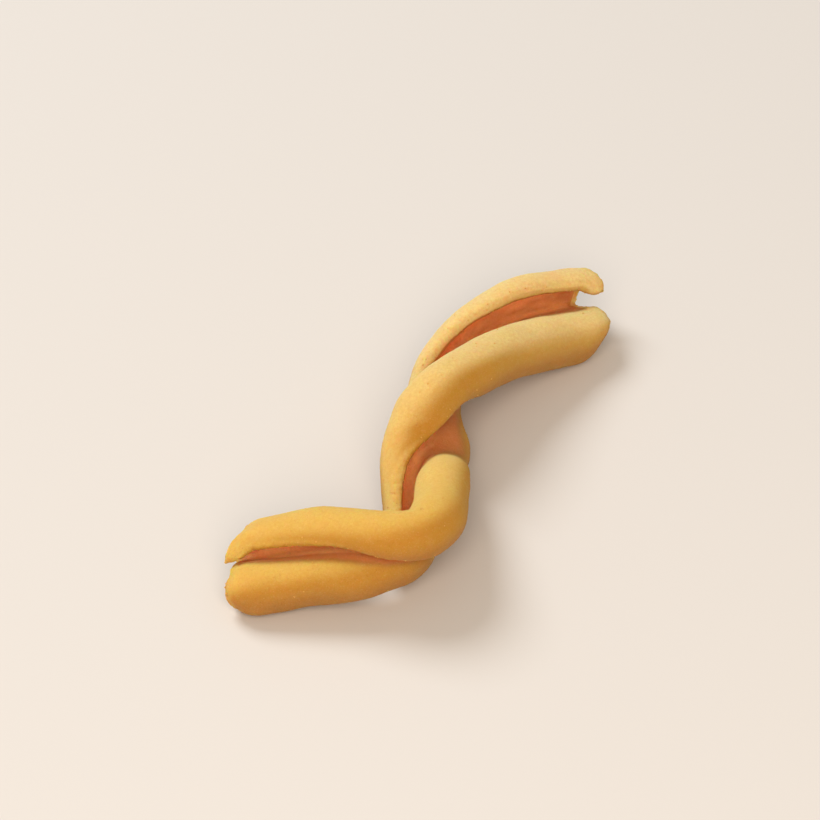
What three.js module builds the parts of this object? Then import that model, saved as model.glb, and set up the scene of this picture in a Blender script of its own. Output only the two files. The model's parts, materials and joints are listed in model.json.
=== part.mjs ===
// Strozzapreti: one short length of dried pasta, rolled by hand from a strip of dough. The strip's two long
// edges curl opposite ways, so its section is an S with a groove on each face. It is twisted once from end to
// end, and bends where it was laid down to dry.
// Millimetres, +Z up. It lies on small flats at z = 0, and the origin is under the middle of its box.

import * as THREE from 'three';

// ---- driving dimensions ----
const SHEET = 1.45; // thickness of the dough
const CURL_R = 2.55; // outer radius of each curled edge
const CURL_X_TIGHT = 1.98; // from the middle of the sheet to the middle of a curl, where it is rolled tight
const CURL_X_OPEN = 2.3; // and where it has sprung open
const EDGE_A_TIGHT = 86; // where the first edge stops, in degrees round the middle of its curl
const EDGE_A_OPEN = 97; // and where the curl has sprung open
const EDGE_B = 94; // where the second edge stops
const OPENS = [0.3, 0.75]; // the share of the length over which the curls spring open
const SETTLED = 0.12; // how much of its undersides is flat, from drying on a board

// The two ends, where the strip was torn off. torn: how far back the tear lies, at seven even steps across
// the sheet from its first edge to its second. drawn: the size that each curl is drawn in to, against its
// full size. lip: how many degrees further the first edge is pressed in, towards the groove.
const FIRST_END = { torn: [0.25, 2.0, 2.1, 1.3, 0.3, 0.0, 0.3], drawn: [0.84, 0.55], lip: 34 };
const LAST_END = { torn: [0.4, 1.0, 2.0, 3.2, 0.6, 2.1, 2.4], drawn: [0.9, 0.58], lip: 26 };
const DRAWN_LENGTH = 3.2; // how far from an end its curls start to be drawn in
const LIP_LENGTH = 0.016; // the share of the length over which a lip is pressed in
const LIP_SHARPNESS = 6; // how suddenly a lip ends: higher is more sudden
const RIM = 0.5; // how far the outer rim of a torn curl lies behind its inner rim
const RIM_ROUNDING = 4; // how close to the outer rim the rounding stays: higher is closer

// The middle of the strip along its length: across, away and up, the degrees that its section has turned
// since it faced front, and the size of the section against the dimensions above.
const ROUTE = [
  [-17.2, -21.5, 2.5, -34, 1.0],
  [-11.4, -21.6, 3.9, -12, 1.0],
  [-6.4, -22.0, 5.2, 4, 1.0],
  [-2.6, -22.4, 5.85, 36, 1.0],
  [0.25, -21.7, 5.75, 86, 1.06],
  [1.3, -18.0, 4.7, 116, 1.05],
  [1.6, -13.6, 3.7, 132, 1.03],
  [1.35, -9.8, 3.7, 160, 1.02],
  [1.4, -6.2, 4.3, 222, 1.07],
  [2.35, -3.8, 4.8, 238, 1.19],
  [2.55, -1.7, 5.1, 260, 1.22],
  [3.9, 2.6, 5.3, 292, 1.12],
  [6.3, 7.1, 5.3, 309, 1.08],
  [9.6, 10.55, 5.0, 323, 1.08],
  [13.7, 13.9, 3.8, 332, 1.04],
  [19.5, 17.4, 2.4, 338, 1.03],
];
const FRONT = new THREE.Vector3(0, -1, 0.84).normalize(); // the way that an unturned section faces

// ---- how finely it is made ----
const STEPS = 84; // rings of points along the length
const FACE_POINTS = 25; // points on each face of the sheet, from edge to edge
const EDGE_POINTS = 3; // points that round each edge of the sheet
const EASINGS = 10; // times that the surface is evened out along its length, as dough is round a tight bend
const HELD = 5; // rings at each end that keep the shape they were torn to
const QUARTER = Math.PI / 2;

// How far the first edge is pressed in, in degrees, at a share of the strip's length.
function lipAt(share) {
  const pressed = (fromEnd) => Math.exp(-((fromEnd / LIP_LENGTH) ** LIP_SHARPNESS));
  return FIRST_END.lip * pressed(share) + LAST_END.lip * pressed(1 - share);
}

// The S that the middle of the sheet follows from edge to edge, at a share of the strip's length.
function sheetLine(share) {
  const open = THREE.MathUtils.smoothstep(share, ...OPENS);
  const r = CURL_R - SHEET / 2;
  const x = THREE.MathUtils.lerp(CURL_X_TIGHT, CURL_X_OPEN, open);
  const edge = THREE.MathUtils.lerp(EDGE_A_TIGHT, EDGE_A_OPEN, open);
  const edgeA = THREE.MathUtils.degToRad(edge - lipAt(share));
  const edgeB = THREE.MathUtils.degToRad(EDGE_B - 180);
  const leaves = Math.acos(r / x); // where the straight middle of the sheet meets a curl
  const curlA = new THREE.EllipseCurve(-x, 0, r, r, edgeA, 2 * Math.PI - leaves, false);
  const curlB = new THREE.EllipseCurve(x, 0, r, r, Math.PI - leaves, edgeB, true);
  const line = new THREE.CurvePath();
  line.add(curlA);
  line.add(new THREE.LineCurve(curlA.getPoint(1), curlB.getPoint(0)));
  line.add(curlB);
  return line;
}

// A point on the skin of the sheet, half its thickness out from its middle line.
function skinPoint(line, u, angle) {
  const tangent = line.getTangentAt(u);
  const a = Math.atan2(tangent.y, tangent.x) + angle;
  return line.getPointAt(u).add(new THREE.Vector2(Math.cos(a), Math.sin(a)).multiplyScalar(SHEET / 2));
}

// The closed outline of the section: along one face, round the edge, back along the other, and round again.
// Each point keeps its place across the sheet, from 0 at the first edge to 1 at the second.
function sectionOutline(share) {
  const line = sheetLine(share);
  const points = [];
  for (const [start, end, side] of [[0, 1, -QUARTER], [1, 0, QUARTER]]) {
    for (let j = 0; j < FACE_POINTS; j++) {
      const across = THREE.MathUtils.lerp(start, end, j / (FACE_POINTS - 1));
      points.push({ across, p: skinPoint(line, across, side) });
    }
    for (let k = 1; k <= EDGE_POINTS; k++) {
      points.push({ across: end, p: skinPoint(line, end, side + (k * Math.PI) / (EDGE_POINTS + 1)) });
    }
  }
  return points;
}

// How far an end is torn back, at a point of the section.
function tornBack(end, across, p) {
  const tear = new THREE.SplineCurve(end.torn.map((back, k) => new THREE.Vector2(k, back)));
  const fromCurl = Math.hypot(Math.abs(p.x) - CURL_X_TIGHT, p.y) / CURL_R;
  return Math.max(tear.getPoint(across).y, 0) + RIM * fromCurl ** RIM_ROUNDING;
}

// Near a torn end, each curl is drawn in towards its own middle.
function drawnIn(end, p, away) {
  const share = Math.min(away / DRAWN_LENGTH, 1);
  const size = THREE.MathUtils.lerp(end.drawn[p.x < 0 ? 0 : 1], 1, Math.sqrt(1 - (1 - share) ** 2));
  const middle = new THREE.Vector2(Math.sign(p.x) * CURL_X_TIGHT, 0);
  const drawn = p.clone().sub(middle).multiplyScalar(size).add(middle);
  return p.clone().lerp(drawn, THREE.MathUtils.smoothstep(Math.abs(p.x), 0, CURL_X_TIGHT / 2));
}

// A ring drawn half way towards the middle of its two neighbours.
function evened(before, ring, after) {
  return ring.map((p, j) => before[j].clone().add(after[j]).multiplyScalar(0.5).lerp(p, 0.5));
}

// The rings of points round the strip, from its first end to its last.
function stripRings() {
  const spine = new THREE.CatmullRomCurve3(ROUTE.map(([x, y, z]) => new THREE.Vector3(x, y, z)));
  spine.arcLengthDivisions = 800;
  const length = spine.getLength();
  const turnAndSize = ROUTE.map((row) => new THREE.Vector3(row[3], row[4], 0));
  const form = new THREE.CatmullRomCurve3(turnAndSize, false, 'catmullrom');

  function place(p, along) {
    const t = spine.getUtoTmapping(along / length);
    const tangent = spine.getTangent(t);
    const front = FRONT.clone().projectOnPlane(tangent).normalize();
    const side = new THREE.Vector3().crossVectors(tangent, front);
    const { x: turn, y: size } = form.getPoint(t);
    const turned = THREE.MathUtils.degToRad(-turn);
    const q = p.clone().multiplyScalar(size).rotateAround(new THREE.Vector2(), turned);
    return spine.getPoint(t).addScaledVector(side, q.x).addScaledVector(front, q.y);
  }

  let rings = [];
  for (let i = 0; i <= STEPS; i++) {
    rings.push(sectionOutline(i / STEPS).map(({ across, p }) => {
      const start = tornBack(FIRST_END, across, p);
      const end = length - tornBack(LAST_END, across, p);
      const nearer = i < STEPS / 2 ? FIRST_END : LAST_END;
      const away = (Math.min(i, STEPS - i) * length) / STEPS;
      return place(drawnIn(nearer, p, away), THREE.MathUtils.lerp(start, end, i / STEPS));
    }));
  }
  const eased = (i) => i >= HELD && i <= STEPS - HELD;
  for (let pass = 0; pass < EASINGS; pass++) {
    rings = rings.map((ring, i) => (eased(i) ? evened(rings[i - 1], ring, rings[i + 1]) : ring));
  }
  return rings;
}

// The triangles that close an end, zipped across the sheet from one edge to the other.
function capTriangles(around) {
  const tip = around - Math.ceil(EDGE_POINTS / 2);
  const at = (k) => (tip + k + around) % around;
  const triangles = [];
  for (let k = 0; k < around / 2; k++) {
    if (k > 0) {
      triangles.push([at(k), at(k + 1), at(-k)]);
    }
    if (k + 1 < around / 2) {
      triangles.push([at(k + 1), at(-k - 1), at(-k)]);
    }
  }
  return triangles;
}

// One closed surface: a band of triangles between each ring and the next, and a cap on each end.
function stripGeometry() {
  const rings = stripRings();
  const around = rings[0].length;
  const last = STEPS * around;
  const index = [];
  for (let i = 0; i < STEPS; i++) {
    for (let j = 0; j < around; j++) {
      const a = i * around + j;
      const b = i * around + ((j + 1) % around);
      index.push(a, a + around, b, b, a + around, b + around);
    }
  }
  for (const [a, b, c] of capTriangles(around)) {
    index.push(a, b, c);
    index.push(last + a, last + c, last + b);
  }
  const points = rings.flat();
  for (const p of points) {
    p.z = Math.max(p.z - SETTLED, 0);
  }
  const middle = new THREE.Box3().setFromPoints(points).getCenter(new THREE.Vector3());
  const geometry = new THREE.BufferGeometry().setFromPoints(points);
  geometry.setIndex(index);
  geometry.translate(-middle.x, -middle.y, 0);
  return geometry;
}

const pasta = new THREE.MeshStandardMaterial({ color: 0xe8bc62, roughness: 0.75, metalness: 0 });
const strip = new THREE.Mesh(stripGeometry(), pasta);
strip.name = 'strozzapreti';

const part = new THREE.Group();
part.add(strip);
export default part;
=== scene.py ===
# %% [markdown]
# # A piece of strozzapreti
#
# Strozzapreti are short lengths of pasta. A strip of dough is rolled between the palms, so its two long
# edges curl opposite ways and the whole strip twists. Then it dries as it lies. This lesson dresses one such
# piece: its true form is already there as a plain solid, and Blender gives it the softness, the torn ends,
# the crumbly cut edges and the grain of dried semolina dough.

# %% The frame, and the tools of the lesson
import json
import math
import random

import bmesh
import bpy
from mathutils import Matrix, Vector
from mathutils.bvhtree import BVHTree

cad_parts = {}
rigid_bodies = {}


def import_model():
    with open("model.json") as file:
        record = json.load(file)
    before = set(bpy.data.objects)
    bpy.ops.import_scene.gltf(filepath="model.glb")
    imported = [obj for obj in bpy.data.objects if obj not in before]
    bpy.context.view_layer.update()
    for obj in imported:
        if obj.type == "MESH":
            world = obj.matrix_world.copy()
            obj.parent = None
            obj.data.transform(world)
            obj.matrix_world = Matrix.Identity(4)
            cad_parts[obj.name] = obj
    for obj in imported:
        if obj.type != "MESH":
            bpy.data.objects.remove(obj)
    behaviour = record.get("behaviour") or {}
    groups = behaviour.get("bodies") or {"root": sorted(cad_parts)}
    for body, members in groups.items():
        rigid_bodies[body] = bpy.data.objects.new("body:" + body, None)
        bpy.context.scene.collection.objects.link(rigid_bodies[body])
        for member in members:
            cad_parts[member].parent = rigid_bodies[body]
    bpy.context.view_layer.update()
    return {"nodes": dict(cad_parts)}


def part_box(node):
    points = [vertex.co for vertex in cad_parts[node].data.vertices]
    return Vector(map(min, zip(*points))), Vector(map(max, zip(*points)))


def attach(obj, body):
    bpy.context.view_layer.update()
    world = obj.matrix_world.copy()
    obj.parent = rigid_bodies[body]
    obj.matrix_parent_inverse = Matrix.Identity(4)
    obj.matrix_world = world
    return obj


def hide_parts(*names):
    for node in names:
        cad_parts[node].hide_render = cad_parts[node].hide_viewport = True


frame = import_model()

MM = 0.001
low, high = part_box("strozzapreti")
middle = (low + high) / 2
print("the piece measures", [round(side / MM, 1) for side in high - low], "mm")

# %% [markdown]
# ## The strip of dough
#
# The whole piece is one strip of dough. Its surface could be drawn again from nothing, but the solid already
# has every curl in the right place, so a copy of it is a better start. The solid is a mesh of loose
# triangles. The copy is merged and turned back into the four-sided faces that run along the dough, because
# such faces round off evenly and their lines can be followed.
#
# An operator acts on whatever is selected, and the frame arrives selected. So every step starts by selecting
# just the object that it works on.


# %% Copy the solid and merge it
def pick(thing):
    bpy.ops.object.select_all(action="DESELECT")
    thing.select_set(True)
    bpy.context.view_layer.objects.active = thing


def copy_of(thing, name):
    pick(thing)
    bpy.ops.object.duplicate()
    copy = bpy.context.object
    copy.name = name
    copy.data.name = name
    return copy


SAME_PLACE = 0.001 * MM  # points closer than this are one point
ANY_ANGLE = math.pi
FOLLOW_THE_GRID = 1.2  # how much a pair of triangles that continues the grid is preferred

strip = copy_of(frame["nodes"]["strozzapreti"], "strip")
bpy.ops.object.mode_set(mode="EDIT")
bpy.ops.mesh.select_all(action="SELECT")
bpy.ops.mesh.remove_doubles(threshold=SAME_PLACE)
bpy.ops.mesh.tris_convert_to_quads(
    face_threshold=ANY_ANGLE,
    shape_threshold=ANY_ANGLE,
    topology_influence=FOLLOW_THE_GRID,
)
bpy.ops.object.mode_set(mode="OBJECT")
print("strip:", len(strip.data.vertices), "points,", len(strip.data.polygons), "faces")

# %% [markdown]
# ## Where the dough was torn
#
# The strip was torn off at both ends, and the torn faces are rougher and paler than the rolled skin. They
# could be picked out by hand, but a rule finds them too: only there do edges of the mesh cross the thickness
# of the dough, so the normals at the two ends of such an edge look away from each other. A crease keeps the
# rims of the torn faces crisp when the rest is rounded, and a copy of the faces is kept as a guide.

# %% A crease round the torn faces, and a guide for them
RIM_CREASE = 0.7  # how crisp the rims of the torn faces stay: 0 is soft, 1 is sharp
LOOKING_APART = 0.35  # two normals look away from each other if their product is below this


def crossing_edges(mesh):
    return [e for e in mesh.edges if e.verts[0].normal.dot(e.verts[1].normal) < LOOKING_APART]


def select_torn_faces(thing):
    bpy.ops.mesh.select_mode(type="FACE")
    bpy.ops.mesh.select_all(action="DESELECT")
    mesh = bmesh.from_edit_mesh(thing.data)
    for edge in crossing_edges(mesh):
        for face in edge.link_faces:
            face.select_set(True)
    bmesh.update_edit_mesh(thing.data)


def separate_selected(thing, name):
    before = set(bpy.data.objects)
    bpy.ops.mesh.duplicate()
    bpy.ops.mesh.separate(type="SELECTED")
    bpy.ops.object.mode_set(mode="OBJECT")
    guide = (set(bpy.data.objects) - before).pop()
    guide.name = name
    return guide


pick(strip)
bpy.ops.object.mode_set(mode="EDIT")
select_torn_faces(strip)
bpy.ops.mesh.region_to_loop()
bpy.ops.transform.edge_crease(value=RIM_CREASE)
select_torn_faces(strip)
torn_faces = separate_selected(strip, "torn_faces")
print("torn faces:", len(torn_faces.data.polygons))

# %% [markdown]
# ## Where the dough was cut
#
# The two long edges of the strip were cut, and crumbled a little as they were. They run the whole length, so
# picking them by hand would be slow. Each starts at a corner of a torn face, where only three edges of the
# mesh meet, and from there loops of edges follow it to the far end. Stretches of the torn rims come along
# with them, which does no harm, because they are just as rough. A copy of all these is kept as a guide.

# %% A guide for the cut edges
CORNER_EDGES = 3  # edges that meet in the corner of a torn face, against four elsewhere

pick(strip)
bpy.ops.object.mode_set(mode="EDIT")
bpy.ops.mesh.select_mode(type="EDGE")
bpy.ops.mesh.select_all(action="DESELECT")
mesh = bmesh.from_edit_mesh(strip.data)
for corner in [v for v in mesh.verts if len(v.link_edges) == CORNER_EDGES]:
    for edge in corner.link_edges:
        if all(len(face.verts) == 4 for face in edge.link_faces):
            edge.select_set(True)
bmesh.update_edit_mesh(strip.data)
bpy.ops.mesh.loop_multi_select(ring=False)
cut_edges = separate_selected(strip, "cut_edges")
print("cut edges:", len(cut_edges.data.edges), "steps")

# %% [markdown]
# ## Rays in every direction
#
# The next step asks of each place how much of the space in front of it is open, by sending out rays. Random
# rays would clump together and need many more, and rings of them crowd at the poles. On a golden spiral each
# ray falls in the gap between those before it, so a hundred are enough.

# %% Spread the rays
RAYS = 96  # rays from each place; as many again would point into the dough, and aren't sent
GOLDEN_TURN = math.pi * (3 - math.sqrt(5))


def spread_directions(count):
    directions = []
    for k in range(count):
        height = 1 - (2 * k + 1) / count
        ring = math.sqrt(1 - height**2)
        turn = k * GOLDEN_TURN
        directions.append(Vector((ring * math.cos(turn), ring * math.sin(turn), height)))
    return directions


directions = spread_directions(2 * RAYS)
print(len(directions), "directions")

# %% [markdown]
# ## How sheltered each place is
#
# The colour of the dough is given painted shade where less light reaches it: in the grooves, and on the
# underside, which faces the board. Deepest in the grooves it is given a painted glow instead, a warm orange
# of light bounced about inside them. Such shading could be painted by hand, but it follows a rule, so it can
# be measured. From each point of the mesh, rays go out over the half of space in front of it. The share of
# them that soon meet the dough again is kept as one attribute, and the share that meet the board as another,
# and the material reads both later. One hollow, over the bend, gets more painted shade than its shelter gives
# it. Measuring on the coarse mesh is quick, and the values are smoothed along with it.

# %% Measure the shelter
REACH = 9 * MM  # how far off dough can be and still shelter a place
BOARD_REACH = 30 * MM  # and how far off the board can be
SKIN_GAP = 0.05 * MM  # how far above the skin a ray starts, so that it doesn't meet the skin itself
SHADE_SPOT = Vector((3.4, -3.2, 4.2)) * MM  # the hollow over the bend, which is given painted shade
SHADE_SPOT_REACH = 3.5 * MM
SHADE_SPOT_DEPTH = 0.4  # how much painted shade it adds in its middle, on top of the shelter


def shelter(dough, point, normal):
    start = point + normal * SKIN_GAP
    facing = by_dough = by_board = 0
    for direction in directions:
        weight = direction.dot(normal)
        if weight > 0:
            facing += weight
            if dough.ray_cast(start, direction, REACH)[0]:
                by_dough += weight
            elif start.z + direction.z * BOARD_REACH < 0:
                by_board += weight
    return by_dough / facing, by_board / facing


def keep_attribute(thing, name, values):
    attribute = thing.data.attributes.new(name, "FLOAT", "POINT")
    attribute.data.foreach_set("value", values)
    print(name, "goes from", round(min(values), 2), "to", round(max(values), 2))


skin = strip.data.vertices
dough = BVHTree.FromPolygons([v.co for v in skin], [f.vertices for f in strip.data.polygons])
shares = [shelter(dough, vertex.co, vertex.normal) for vertex in skin]
spot_shade = [1 - min((vertex.co - SHADE_SPOT).length / SHADE_SPOT_REACH, 1) for vertex in skin]
# the groove mask is the shelter by the dough, plus a painted shade spot over the bend
grooves = [by_dough + SHADE_SPOT_DEPTH * spot for (by_dough, by_board), spot in zip(shares, spot_shade)]
keep_attribute(strip, "groove", grooves)
keep_attribute(strip, "underside", [by_board for by_dough, by_board in shares])

# %% [markdown]
# ## Which side faces the light
#
# Faces that turn towards the key light are given a paler colour, a painted light, and faces that turn away
# a fuller, darker one, a painted shade. A gradient across the whole object would miss the turns of the strip,
# so the normal of each point decides: the more a place faces the light, the paler it is painted.

# %% Measure how far each place faces the light
TOWARDS_KEY_LIGHT = Vector((-0.45, 0.35, 0.82)).normalized()  # roughly the direction of the key light, for the painted light and shade

keep_attribute(strip, "facing_light", [vertex.normal.dot(TOWARDS_KEY_LIGHT) for vertex in strip.data.vertices])

# %% [markdown]
# ## Soft, smooth dough
#
# Dough pressed by a palm has no corners. The faces of the solid are about a millimetre long, which is too
# coarse for that. A bevel would round only the sharp edges. Two levels of subdivision round everything off,
# and leave the faces fine enough to carry small marks.


# %% Subdivide
def apply_modifier(thing, kind, **settings):
    pick(thing)
    modifier = thing.modifiers.new(kind.lower(), kind)
    for key, value in settings.items():
        setattr(modifier, key, value)
    bpy.ops.object.modifier_apply(modifier=modifier.name)


def triangles(thing):
    return sum(len(face.vertices) - 2 for face in thing.data.polygons)


LEVELS = 2

apply_modifier(strip, "SUBSURF", levels=LEVELS, render_levels=LEVELS)
print("strip:", triangles(strip), "triangles")

# %% [markdown]
# ## Where each kind of roughness goes
#
# The torn faces and the cut edges are rough only close by, and the roughness dies away within a millimetre.
# A vertex group says how strongly a modifier acts at each point. It could be painted, but each guide gives
# one more evenly: full beside the guide, and fading to nothing at a set distance from it.

# %% Groups from the guides
TORN_REACH = 0.9 * MM
CUT_REACH = 0.7 * MM


def weight_of(thing, vertex, name):
    index = thing.vertex_groups[name].index
    return next((group.weight for group in vertex.groups if group.group == index), 0.0)


def group_near(thing, guide, name, reach, part):
    pick(thing)
    group = thing.vertex_groups.new(name=name)
    group.add(range(len(thing.data.vertices)), 1.0, "REPLACE")
    apply_modifier(
        thing,
        "VERTEX_WEIGHT_PROXIMITY",
        vertex_group=name,
        target=guide,
        proximity_mode="GEOMETRY",
        proximity_geometry={part},
        min_dist=reach,
        max_dist=0.0,
        falloff_type="SMOOTH",
    )
    covered = sum(weight_of(thing, vertex, name) > 0 for vertex in thing.data.vertices)
    print(name, "reaches", reach / MM, "mm, over", covered, "points")


group_near(strip, torn_faces, "torn", TORN_REACH, "FACE")
group_near(strip, cut_edges, "cut", CUT_REACH, "EDGE")

# %% [markdown]
# ## The pinched ends
#
# The strip was pinched off between finger and thumb, which leaves each end a little different, and no curl
# is quite round. The sculpt brushes would do this by feel. Proportional editing does it with numbers that
# can be read and changed: a point on the skin is pulled at a time, and the dough round it follows, less and
# less the further off it is. The wide, gentle pulls along the curls come first, and the small ones at the
# ends after them. At each end, the web is the sheet between the two curls, and the flap is the upper curl
# where it stands out past the web.

# %% List the pulls
PULLS = [  # what is pulled, a place on it, how far it moves and how far the pull reaches, all in mm
    ("first curl, above", (-11.0, -16.6, 8.0), (0.0, 0.16, 0.19), 5.0),
    ("middle, on the left", (-2.9, -4.0, 6.6), (-0.25, 0.0, 0.05), 5.0),
    ("last flap, behind", (9.2, 18.3, 7.6), (0.0, 0.28, 0.33), 6.0),
    ("first curl, below", (-10.5, -22.6, 2.0), (0.0, 0.2, 0.24), 4.0),
    ("first curl, in front", (-15.7, -22.6, 1.2), (0.0, -0.3, 0.0), 2.5),
    ("last curl, below", (17.4, 15.6, 2.0), (-0.15, 0.1, 0.12), 3.5),
    ("first corner, behind", (-17.8, -18.4, 3.3), (0.55, 0.0, 0.0), 1.4),
    ("first corner", (-18.0, -19.9, 4.0), (0.2, -0.14, -0.18), 1.5),
    ("first curl, end", (-17.2, -16.7, 5.7), (0.3, -0.05, -0.05), 2.0),
    ("first flap", (-17.1, -18.5, 5.1), (0.0, -0.43, -0.5), 1.5),
    ("first flap, above", (-16.3, -16.3, 6.4), (0.05, -0.18, -0.2), 1.4),
    ("first web", (-16.7, -16.7, 2.8), (-0.75, -0.2, 0.1), 1.6),
    ("last flap, below", (16.3, 20.0, 5.1), (0.0, -0.3, -0.42), 1.4),
    ("last flap, above", (17.1, 21.0, 5.7), (0.08, 0.0, 0.0), 1.8),
    ("last curl, above", (17.0, 18.3, 3.7), (0.15, 0.2, 0.15), 1.6),
    ("last curl, tip", (18.3, 17.2, 2.5), (-0.3, 0.0, 0.05), 1.6),
    ("last curl, spur", (18.4, 17.8, 2.1), (-0.22, 0.0, 0.05), 0.6),
    ("last flap, tip", (17.8, 20.2, 4.6), (-0.3, 0.05, 0.1), 0.9),
    ("last flap, corner", (17.7, 20.5, 4.1), (-0.15, 0.06, 0.12), 0.6),
]

print(len(PULLS), "pulls")

# %% [markdown]
# ## Pulling a point
#
# With the mouse, a point would be picked, then grabbed with the falloff circle set to its reach. Here the
# point nearest to the place is picked by its number, because a hold on a point itself is lost each time that
# edit mode starts or ends. Only dough that is connected to it follows, so a pull on one lip never drags the
# other lip across the groove.


# %% Pull the curls and the torn ends into shape
def nearest_point(thing, place):
    return min(thing.data.vertices, key=lambda vertex: (vertex.co - place).length).index


def pull(thing, place, move, reach):
    pick(thing)
    nearest = nearest_point(thing, place)
    bpy.ops.object.mode_set(mode="EDIT")
    bpy.ops.mesh.select_mode(type="VERT")
    bpy.ops.mesh.select_all(action="DESELECT")
    bpy.ops.object.mode_set(mode="OBJECT")
    thing.data.vertices[nearest].select = True
    bpy.ops.object.mode_set(mode="EDIT")
    bpy.ops.transform.translate(
        value=move,
        use_proportional_edit=True,
        use_proportional_connected=True,
        proportional_edit_falloff="SMOOTH",
        proportional_size=reach,
    )
    bpy.ops.object.mode_set(mode="OBJECT")


unpulled = [vertex.co.copy() for vertex in strip.data.vertices]
for name, place, move, reach in PULLS:
    pull(strip, Vector(place) * MM, Vector(move) * MM, reach * MM)
    print("pulled the", name, "by", round(Vector(move).length, 2), "mm")
farthest = max((vertex.co - old).length for vertex, old in zip(strip.data.vertices, unpulled))
print("no point moved by more than", round(farthest / MM, 2), "mm")

# %% [markdown]
# ## A hand-made surface
#
# Nothing that was rolled between two palms is perfectly even. A very soft displacement, a few millimetres
# from swell to swell, gives the curls their slight dents. A shorter one makes the cut edges ragged, where
# the dough crumbled as the strip was cut, and a coarser one breaks up the torn faces. The last is the fine
# pebbling that semolina leaves all over. A bump in the material would be lighter than displacement, but it
# leaves the outline of the piece smooth, and these marks show there.

# %% Dents, torn faces, ragged edges and pebbling
ROUGHNESS = [  # name, size and height in mm, detail, the group it keeps to, and the level that stays put
    ("dents", 4.5, 0.3, 1, "", 0.35),
    ("torn_dough", 0.6, 0.25, 2, "torn", 0.5),
    ("crumbled_edge", 0.35, 0.22, 1, "cut", 0.5),
    ("pebbling", 0.45, 0.055, 2, "", 0.5),
]


def clouds(name, size, depth):
    texture = bpy.data.textures.new(name, "CLOUDS")
    texture.noise_scale = size
    texture.noise_depth = depth
    return texture


for name, size, height, depth, group, level in ROUGHNESS:
    apply_modifier(
        strip,
        "DISPLACE",
        texture=clouds(name, size * MM, depth),
        texture_coords="LOCAL",
        vertex_group=group,
        strength=height * MM,
        mid_level=level,
    )
pick(strip)
bpy.ops.object.shade_smooth()
lows = [min(v.co[k] for v in strip.data.vertices) / MM for k in range(3)]
highs = [max(v.co[k] for v in strip.data.vertices) / MM for k in range(3)]
print("strip reaches from", [round(n, 2) for n in lows], "to", [round(n, 2) for n in highs], "mm")

# %% [markdown]
# ## The shapes of the crumbs
#
# Cutting and rolling leave crumbs of semolina on the dough. Each is an angular grain. A ball with few faces,
# each corner of it pushed in or out a little, is angular enough at that size, and four of them, turned and
# scaled, look like many. They are made 1 mm across, so that the scale of a copy is its size in millimetres.

# %% Make a few crumb shapes
CRUMB_SHAPES = 4
CRUMB_RADIUS = 0.5 * MM
UNEVEN = (0.7, 1.15)  # how far in or out each corner of a crumb may be pushed
SEED = 7  # the same seed gives the same crumbs each time
drawn = random.Random(SEED)


def crumb_shape():
    bpy.ops.object.select_all(action="DESELECT")
    bpy.ops.mesh.primitive_ico_sphere_add(subdivisions=1, radius=CRUMB_RADIUS)
    crumb = bpy.context.object
    crumb.name = "crumb"
    for vertex in crumb.data.vertices:
        vertex.co *= drawn.uniform(*UNEVEN)
    return crumb


shapes = [crumb_shape() for k in range(CRUMB_SHAPES)]
print(CRUMB_SHAPES, "crumb shapes of", triangles(shapes[0]), "triangles")

# %% [markdown]
# ## Where the crumbs lie
#
# Two crumbs in three lie along the cut edges, and the rest all over. A particle system could scatter them,
# but then they would be hard to move one by one later. Here a place on the strip is drawn at random, and kept
# more often the nearer it is to a cut edge, which the vertex group knows.

# %% Draw places for the crumbs
CRUMBS = 420
SPARSE = 0.05  # how often a place far from the cut edges is kept


def crumb_places(count):
    places = []
    while len(places) < count:
        vertex = drawn.choice(strip.data.vertices)
        if drawn.random() < SPARSE + weight_of(strip, vertex, "cut") ** 2:
            places.append(vertex.co.copy())
    return places


places = crumb_places(CRUMBS)
print(len(places), "places")

# %% [markdown]
# ## Loose crumbs
#
# Each crumb is pressed half way into the surface, turned any way. Instances would take less room, but only
# real copies can be joined into one piece, and at twenty triangles each they stay light.

# %% Lay the crumbs and join them
SMALLEST, LARGEST = 0.1, 0.25  # how large a crumb is, in mm
FULL_TURN = 2 * math.pi

crumb_copies = []
for place in places:
    crumb = drawn.choice(shapes).copy()
    crumb.data = crumb.data.copy()
    crumb.location = place
    crumb.rotation_euler = [drawn.uniform(0, FULL_TURN) for k in range(3)]
    crumb.scale = [drawn.uniform(SMALLEST, LARGEST)] * 3
    bpy.context.collection.objects.link(crumb)
    crumb_copies.append(crumb)
for shape in shapes:
    bpy.data.objects.remove(shape)
bpy.ops.object.select_all(action="DESELECT")
for crumb in crumb_copies:
    crumb.select_set(True)
bpy.context.view_layer.objects.active = crumb_copies[0]
bpy.ops.object.join()
bpy.ops.object.transform_apply(location=True, rotation=True, scale=True)
crumbs = bpy.context.object
crumbs.name = "crumbs"
print("crumbs:", CRUMBS, "with", triangles(crumbs), "triangles")

# %% [markdown]
# ## A group for the grain
#
# Dried pasta is never one flat colour: the same semolina shows in the strip and in its crumbs. A picture
# could hold it, but it would have to be unwrapped round every curl, and would blur close up. Noise in three
# dimensions has neither fault. Two materials need it, so it goes into a node group of its own, which takes
# the coordinates and the colour of the dough, and puts out the grained colour and a height for the bump.

# %% Start the group
NODE_STEP = 200  # how far apart nodes are laid out, in their window
VECTOR = "NodeSocketVector"
COLOUR = "NodeSocketColor"
NUMBER = "NodeSocketFloat"


def new_node(tree, kind, **settings):
    node = tree.nodes.new(kind)
    node.location.x = NODE_STEP * len(tree.nodes)
    for key, value in settings.items():
        setattr(node, key, value)
    return node


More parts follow.
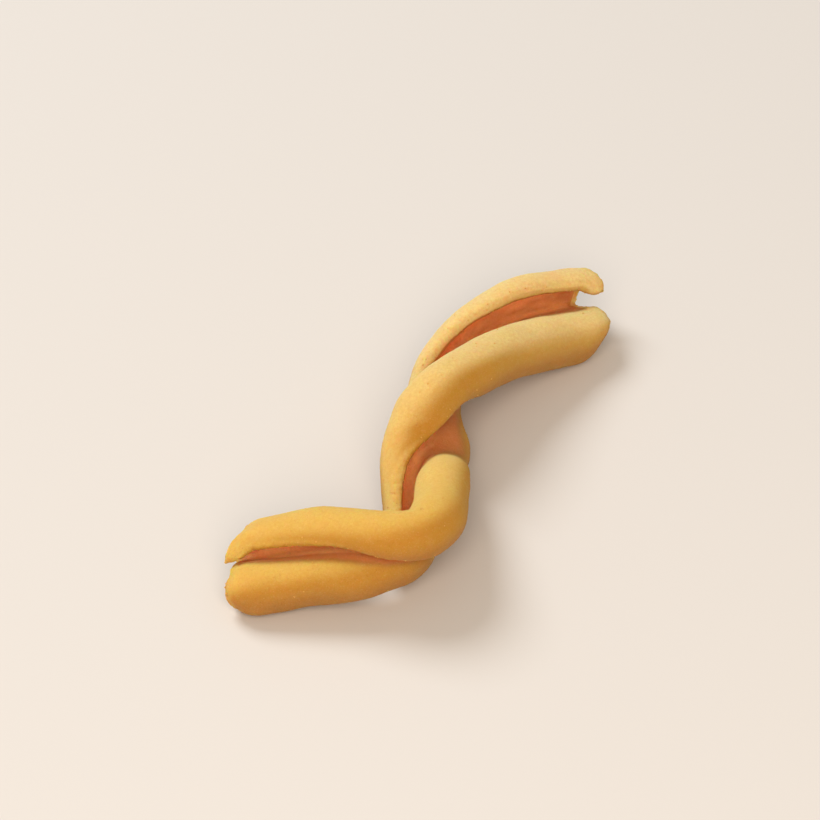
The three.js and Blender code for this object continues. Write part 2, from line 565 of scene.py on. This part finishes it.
def new_group(name, inputs, outputs):
    group = bpy.data.node_groups.new(name, "ShaderNodeTree")
    for way, sockets in (("INPUT", inputs), ("OUTPUT", outputs)):
        for socket, kind in sockets.items():
            group.interface.new_socket(socket, in_out=way, socket_type=kind)
    print(name, "takes", ", ".join(inputs), "and puts out", ", ".join(outputs))
    return group, new_node(group, "NodeGroupInput").outputs, new_node(group, "NodeGroupOutput").inputs


semolina, grain_in, grain_out = new_group(
    "semolina_grain",
    {"Coordinates": VECTOR, "Dough": COLOUR},
    {"Colour": COLOUR, "Height": NUMBER},
)

# %% [markdown]
# ## Nodes that read like arithmetic
#
# In the node editor, each node is added and wired by hand. A material with thirty of them is easier to read
# when each common kind has a small function, which takes the numbers or sockets that go in, and gives back
# the socket that comes out. They serve the grain now and the dough after it.


# %% Helpers for the nodes
def noise(tree, coords, size, detail, roughness):
    node = new_node(tree, "ShaderNodeTexNoise")
    node.inputs["Scale"].default_value = 1 / size
    node.inputs["Detail"].default_value = detail
    node.inputs["Roughness"].default_value = roughness
    tree.links.new(coords, node.inputs["Vector"])
    return node.outputs["Fac"]


def remap(tree, value, start, full, highest=1.0):
    node = new_node(tree, "ShaderNodeMapRange", interpolation_type="SMOOTHSTEP")
    node.inputs["From Min"].default_value = start
    node.inputs["From Max"].default_value = full
    node.inputs["To Max"].default_value = highest
    tree.links.new(value, node.inputs["Value"])
    return node.outputs["Result"]


def fill_sockets(tree, sockets, values):
    for socket, value in zip(sockets, values):
        if isinstance(value, (int, float, tuple)):
            socket.default_value = value
        else:
            tree.links.new(value, socket)


def math_node(tree, operation, a, b):
    node = new_node(tree, "ShaderNodeMath", operation=operation)
    fill_sockets(tree, node.inputs, (a, b))
    return node.outputs[0]


def mix_colour(tree, share, a, b):
    node = new_node(tree, "ShaderNodeMix", data_type="RGBA")
    fill_sockets(tree, [s for s in node.inputs if s.enabled], (share, a, b))
    return next(s for s in node.outputs if s.enabled)


print("helpers: noise, remap, math and mix")

# %% [markdown]
# ## The colour of the grain
#
# Up close, the skin has wide, faint patches, a fine sand all over, a breath of flour, pale flecks, and a few
# dark specks of bran. One noise can't hold them all, because each has its own size and contrast. So each is
# a layer of its own: a noise, cut to the band in which it shows, that mixes in a darker or a paler dough.

# %% Layer the colour
DARKER_DOUGH = (0.55, 0.22, 0.03, 1)
PALER_DOUGH = (1.0, 0.80, 0.42, 1)
DARKENING = 0.28  # how much of the darker dough is mixed in where a layer is full
PALING = 0.35  # and of the paler dough
COLOUR_LAYERS = [  # name, size in mm, detail, roughness, where it starts and is full, strength, and tint
    ("patches", 2.5, 4.0, 0.5, 0.35, 0.65, 0.3, "darker"),
    ("sand", 0.28, 3.0, 0.7, 0.35, 0.65, 0.85, "darker"),
    ("flour", 0.7, 5.0, 0.7, 0.45, 0.65, 0.08, "paler"),
    ("flecks", 0.15, 2.0, 0.6, 0.55, 0.68, 0.2, "paler"),
    ("specks", 0.2, 2.0, 0.6, 0.6, 0.7, 0.9, "darker"),
]

where = grain_in["Coordinates"]
colour = grain_in["Dough"]
tints = {
    "darker": mix_colour(semolina, DARKENING, colour, DARKER_DOUGH),
    "paler": mix_colour(semolina, PALING, colour, PALER_DOUGH),
}
layers = {}
for name, size, detail, roughness, start, full, strength, tint in COLOUR_LAYERS:
    layers[name] = remap(semolina, noise(semolina, where, size * MM, detail, roughness), start, full)
    share = math_node(semolina, "MULTIPLY", layers[name], strength)
    colour = mix_colour(semolina, share, colour, tints[tint])
semolina.links.new(colour, grain_out["Colour"])
print("the colour of the grain has the layers", ", ".join(layers))

# %% [markdown]
# ## The height of the grain
#
# The grains also stand out from the skin, and each speck of bran leaves a tiny pit. They are far too small
# for more displacement, and a bump is enough, because nothing so small shows in the outline.

# %% Layer the height
FINE = (0.16 * MM, 3.0, 0.6)  # size, detail and roughness of the fine grain
COARSE = (0.45 * MM, 3.0, 0.6)  # and of the coarse grain
FINE_SHARE = 0.5  # how high the fine grain stands, against the coarse
PIT_DEPTH = 0.8  # how deep a speck's pit is, against the coarse grain

fine = math_node(semolina, "MULTIPLY", noise(semolina, where, *FINE), FINE_SHARE)
height = math_node(semolina, "ADD", fine, noise(semolina, where, *COARSE))
pits = math_node(semolina, "MULTIPLY", layers["specks"], PIT_DEPTH)
height = math_node(semolina, "SUBTRACT", height, pits)
semolina.links.new(height, grain_out["Height"])
print("semolina grain:", len(semolina.nodes), "nodes")

# %% [markdown]
# ## Dried dough
#
# The colour of the skin holds painted light and shade. It is palest on the faces that turn to the key light,
# and paler still towards the last end. The sides that face away get a fuller yellow painted shade, the
# underside a browner painted shade, and the grooves a warm orange one, with a painted glow of bounced light
# where they are deepest. One even colour would make the piece look cast, and a painted one would have to be
# painted again after every change of shape. So each dough is a colour with a name, and a group, which the
# crumbs use too, puts each in its place by the measured attributes.

# %% Mix the doughs and start their group
# lit and shaded copies of the dough, a painted shade for the underside and grooves, and a painted glow deep
# in them
DOUGHS = {
    "Lit and torn": (0.67, 0.46, 0.092, 1),
    "Lit end": (0.76, 0.60, 0.24, 1),
    "Side": (0.51, 0.275, 0.027, 1),
    "Shaded end": (0.56, 0.37, 0.08, 1),
    "Brown shade": (0.38, 0.185, 0.036, 1),
    "Groove shade": (0.56, 0.20, 0.062, 1),
    "Groove glow": (1.0, 0.52, 0.20, 1),
}

dough_layers, layers_in, layers_out = new_group(
    "dough_layers",
    {"Coordinates": VECTOR, **dict.fromkeys(DOUGHS, COLOUR)},
    {"Colour": COLOUR},
)

# %% [markdown]
# ## How lit and how occluded a place is
#
# Two masks are built from the attributes. The first decides between painted light and painted shade: it is
# how far a place faces the key light, with more painted light for a cut edge and for the last end. The second
# says how deep in a groove it is, and so how much painted shade or painted glow a place gets, with less for
# the cut edges and torn faces. Measuring these again with rays would be slower, and adding them up is enough.

# %% Build the masks
LIGHTER_END_BAND = (2 * MM, 9 * MM)  # where along Y the last end starts to get more painted light, and gets all of it
# how much more painted light the last end gets
END_LIGHTENING = 0.3
CUT_LIGHTENING = 0.7  # how much more painted light a cut edge gets than its direction gives it
CUT_UNSHADED = 0.4  # how much less painted shade and glow of the grooves it gets
TORN_UNSHADED = 0.25  # and a torn face


def attribute(tree, name):
    return new_node(tree, "ShaderNodeAttribute", attribute_name=name).outputs["Fac"]


def less(tree, value, other, share):
    return math_node(tree, "SUBTRACT", value, math_node(tree, "MULTIPLY", other, share))


def dough_masks(tree, along):
    cut = attribute(tree, "cut")
    torn = attribute(tree, "torn")
    lit_share = math_node(tree, "ADD", attribute(tree, "facing_light"), math_node(tree, "MULTIPLY", cut, CUT_LIGHTENING))
    lit_share = math_node(tree, "ADD", lit_share, remap(tree, along, *LIGHTER_END_BAND, END_LIGHTENING))
    occluded = less(tree, attribute(tree, "groove"), cut, CUT_UNSHADED)
    occluded = less(tree, occluded, torn, TORN_UNSHADED)
    return {"lit_share": lit_share, "occluded": occluded, "torn": torn, "under": attribute(tree, "underside")}


print("masks: air, bare, torn and under")

# %% [markdown]
# ## From the lit skin to the glow of the grooves
#
# The doughs are laid one over another. First come the lit skin and the shaded sides, a painted light and a
# painted shade, each paler towards the last end. Over them go the painted shade of the underside and the
# grooves, and the painted glow deep in the grooves, as each mask passes its band. A single colour ramp could
# do this for one mask, but not where two masks overlap.

# %% Lay the doughs over one another
LIT_END_BAND = (-22 * MM, 14 * MM)  # where along Y the lit colour starts to turn paler, and where it is palest
SHADED_END_BAND = (0.0, 14 * MM)  # and the same for the shaded side's colour
LIT_BAND = (0.05, 0.75)  # how far a place faces the light where the side's painted shade ends, and where it is fully lit
TORN_OPEN = 0.5  # how much of the lit dough's colour shows on a torn face
SHADE_AND_GLOW = [  # the mask, where it starts and is full, and the painted shade or glow that it lays over the rest
    ("under", 0.12, 0.55, "Brown shade"),
    ("occluded", 0.18, 0.4, "Brown shade"),
    ("occluded", 0.3, 0.5, "Groove shade"),
    ("occluded", 0.66, 0.88, "Groove glow"),
]


def dough_colour(tree, place, doughs):
    axes = new_node(tree, "ShaderNodeSeparateXYZ")
    tree.links.new(place, axes.inputs["Vector"])
    along = axes.outputs["Y"]
    masks = dough_masks(tree, along)
    # painted light and shade, each paler towards the last end: the lit colour, then the shaded side's colour
    colour = mix_colour(tree, remap(tree, along, *LIT_END_BAND), doughs["Lit and torn"], doughs["Lit end"])
    side = mix_colour(tree, remap(tree, along, *SHADED_END_BAND), doughs["Side"], doughs["Shaded end"])
    # painted light where a place faces the key light, painted shade where it turns away
    colour = mix_colour(tree, remap(tree, masks["lit_share"], *LIT_BAND), side, colour)
    # painted shade under the piece and in the grooves, and a painted glow deepest in them
    for mask, start, full, name in SHADE_AND_GLOW:
        colour = mix_colour(tree, remap(tree, masks[mask], start, full), colour, doughs[name])
    torn = math_node(tree, "MULTIPLY", masks["torn"], TORN_OPEN)
    return mix_colour(tree, torn, colour, doughs["Lit and torn"])


laid_colour = dough_colour(dough_layers, layers_in["Coordinates"], layers_in)
dough_layers.links.new(laid_colour, layers_out["Colour"])
print("dough layers:", len(dough_layers.nodes), "nodes")

# %% [markdown]
# ## Light inside the dough
#
# Dried dough is matt, and a little light goes in and comes out again close by, redder than it went in. That
# helps the grooves glow, on top of the painted glow in their colour. A plain diffuse shader would look like
# painted clay, so the main shader has a subsurface part. A crumb is far thinner than the strip, so light goes
# less deep in it. Crumbs have the same grain, but one dry colour nearly all over.

# %% Make the two materials
GRAIN_HEIGHT = 0.075 * MM
GRAIN_STRENGTH = 0.8
MATTNESS = 0.78
SHEEN = 0.35
LIGHT_INSIDE = 0.85  # the share of the light that goes into the dough
LIGHT_REACH = (1.0, 0.27, 0.09)  # how far red, green and blue light go, against the depth
STRIP_DEPTH = 3.0 * MM
CRUMB_DEPTH = 0.1 * MM
DRY_CRUMB = (0.70, 0.45, 0.11, 1)


def dough_material(name, doughs, depth):
    material = bpy.data.materials.new(name)
    material.use_nodes = True
    tree = material.node_tree
    place = new_node(tree, "ShaderNodeTexCoord").outputs["Object"]
    laid = new_node(tree, "ShaderNodeGroup", node_tree=dough_layers)
    tree.links.new(place, laid.inputs["Coordinates"])
    for dough, colour in doughs.items():
        laid.inputs[dough].default_value = colour
    grain = new_node(tree, "ShaderNodeGroup", node_tree=semolina)
    tree.links.new(place, grain.inputs["Coordinates"])
    tree.links.new(laid.outputs["Colour"], grain.inputs["Dough"])
    bump = new_node(tree, "ShaderNodeBump")
    bump.inputs["Distance"].default_value = GRAIN_HEIGHT
    bump.inputs["Strength"].default_value = GRAIN_STRENGTH
    tree.links.new(grain.outputs["Height"], bump.inputs["Height"])
    shader = tree.nodes["Principled BSDF"]
    tree.links.new(grain.outputs["Colour"], shader.inputs["Base Color"])
    tree.links.new(bump.outputs["Normal"], shader.inputs["Normal"])
    shader.inputs["Roughness"].default_value = MATTNESS
    shader.inputs["Specular IOR Level"].default_value = SHEEN
    shader.inputs["Subsurface Weight"].default_value = LIGHT_INSIDE
    shader.inputs["Subsurface Radius"].default_value = LIGHT_REACH
    shader.inputs["Subsurface Scale"].default_value = depth
    print("material", name, "has", len(tree.nodes), "nodes")
    return material


crumb_doughs = dict.fromkeys(DOUGHS, DRY_CRUMB)
crumb_doughs["Lit end"] = DOUGHS["Lit end"]
dried_dough = dough_material("dried_dough", DOUGHS, STRIP_DEPTH)
dry_crumb = dough_material("dry_crumb", crumb_doughs, CRUMB_DEPTH)

# %% [markdown]
# ## Putting the doughs on
#
# The strip still wears the plain material that came with the copy of the solid, so its list of materials is
# emptied before the dough goes in. The torn ends and the grooves could have materials of their own, face by
# face, but the borders between them would show as hard lines. One material with soft masks has no borders.


# %% Put them on
def dress(thing, material):
    thing.data.materials.clear()
    thing.data.materials.append(material)
    print(thing.name, "wears", material.name)


dress(strip, dried_dough)
dress(crumbs, dry_crumb)

# %% [markdown]
# ## Hand the pieces over
#
# The piece is rigid, so the dressed strip and its crumbs ride on the one body of the frame. The plain solid
# is hidden, so that the strip takes its place. The guides have done their work and go.

# %% Ride, and hide the plain solid
for piece in (strip, crumbs):
    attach(piece, "root")
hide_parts("strozzapreti")
for guide in (torn_faces, cut_edges):
    bpy.data.objects.remove(guide)
print("strip and crumbs ride on the root")

# %% [markdown]
# ## A pale board to lie on
#
# Pasta dries on a board, and a plain pale one shows it best: it catches the soft shadow that says how high
# each curl lies, and adds no colour of its own. It is staging, not part of the piece.

# %% Lay the board
BOARD_SIZE = 1.5  # metres
PALE_WOOD = (0.70, 0.69, 0.67, 1)
BOARD_MATTNESS = 0.8

bpy.ops.object.select_all(action="DESELECT")
bpy.ops.mesh.primitive_plane_add(size=BOARD_SIZE, location=(0, 0, 0))
floor = bpy.context.object
floor.name = "floor"
board = bpy.data.materials.new("pale_board")
board.use_nodes = True
board_shader = board.node_tree.nodes["Principled BSDF"]
board_shader.inputs["Base Color"].default_value = PALE_WOOD
board_shader.inputs["Roughness"].default_value = BOARD_MATTNESS
floor.data.materials.append(board)
print("board:", BOARD_SIZE, "m wide")

# %% [markdown]
# ## The camera
#
# Food on a table is seen from above and in front. A short lens close by would stretch the near end. A long
# lens from far off keeps both ends the same size, so the curls can be compared with each other.

# %% Place the camera
AIM = middle + Vector((-1.425, 1.035, 0.225)) * MM  # a little to the left of the middle, and behind it
ELEVATION = math.radians(40)
DISTANCE = 433 * MM
LENS = 200  # mm
SENSOR = 36  # mm
NEAREST, FARTHEST = 0.01, 10  # what the camera sees, in metres

back = Vector((0, -math.cos(ELEVATION), math.sin(ELEVATION)))
bpy.ops.object.camera_add(location=AIM + back * DISTANCE)
camera = bpy.context.object
camera.rotation_euler = (-back).to_track_quat("-Z", "Y").to_euler()
camera.data.lens = LENS
camera.data.sensor_width = SENSOR
camera.data.clip_start = NEAREST
camera.data.clip_end = FARTHEST
bpy.context.scene.camera = camera
print("camera:", round(DISTANCE / MM), "mm off, at", round(math.degrees(ELEVATION)), "degrees")

# %% [markdown]
# ## The lights
#
# Soft light from one side models the curls and leaves the grooves dark but not black. The large key disk
# hangs on the left and behind, so that the near sides fall into shade. A single light would leave them too
# dark, so a warm, weaker fill in front lifts them, and a faint warm world does the rest. The plain view
# transform keeps the yellows clean, where the filmic ones would grey them.

# %% Light the scene
KEY = {"place": (-0.36, 0.36, 0.56), "size": 0.40, "watts": 3.7, "colour": (1, 1, 1)}
FILL = {"place": (0.0, -0.40, 0.34), "size": 0.40, "watts": 2.05, "colour": (1, 0.82, 0.66)}
WARM_AIR = (1.0, 0.9, 0.8, 1)
AIR_STRENGTH = 0.36


def soft_light(name, place, size, watts, colour):
    bpy.ops.object.light_add(type="AREA", location=place)
    light = bpy.context.object
    light.name = name
    light.rotation_euler = (middle - Vector(place)).to_track_quat("-Z", "Y").to_euler()
    light.data.shape = "DISK"
    light.data.size = size
    light.data.energy = watts
    light.data.color = colour
    print(name, "light:", watts, "W")


soft_light("key", **KEY)
soft_light("fill", **FILL)
world = bpy.data.worlds.new("studio")
bpy.context.scene.world = world
world.use_nodes = True
background = world.node_tree.nodes["Background"]
background.inputs["Color"].default_value = WARM_AIR
background.inputs["Strength"].default_value = AIR_STRENGTH
bpy.context.scene.view_settings.view_transform = "Standard"
